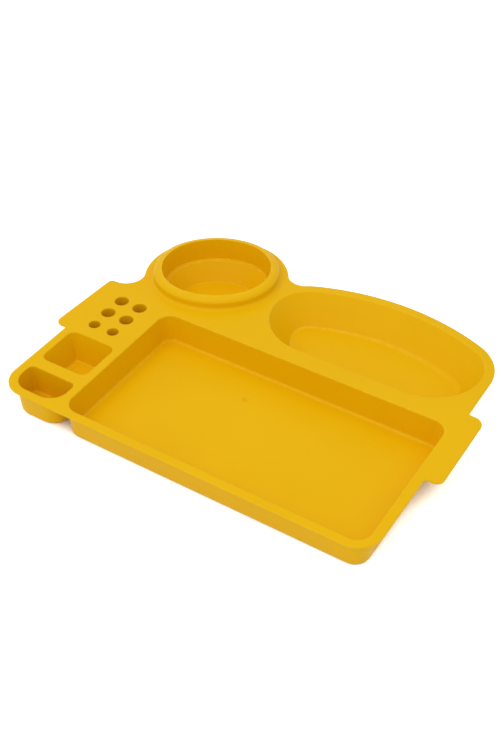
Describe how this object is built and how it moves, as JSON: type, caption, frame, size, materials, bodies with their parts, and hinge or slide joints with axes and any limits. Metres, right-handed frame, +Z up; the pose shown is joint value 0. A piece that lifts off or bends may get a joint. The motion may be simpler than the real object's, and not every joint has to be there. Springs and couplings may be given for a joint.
{
  "type": "medical treatment tray",
  "caption": "Shallow moulded plastic treatment tray with a long instrument well, a half-moon bowl, a collared cup, small wells, tube sockets and side grip tabs.",
  "frame": {"origin": "middle of the tray's outline, on the surface it stands on", "axes": "+X along the tray's length with the tube sockets at -X, +Y from the large well towards the cup and the half-moon bowl, +Z up out of the wells"},
  "size_m": [0.4062, 0.3102, 0.0438],
  "materials": {
    "tray_plastic": "satin"
  },
  "bodies": {
    "root": {"deck_plate": "tray_plastic", "main_well": "tray_plastic", "half_moon_well": "tray_plastic", "cup_collar": "tray_plastic", "cup_well": "tray_plastic", "rear_small_well": "tray_plastic", "front_small_well": "tray_plastic", "tube_socket_1": "tray_plastic", "tube_socket_2": "tray_plastic", "tube_socket_3": "tray_plastic", "tube_socket_4": "tray_plastic", "tube_socket_5": "tray_plastic", "tube_socket_6": "tray_plastic"}
  },
  "joints": []
}
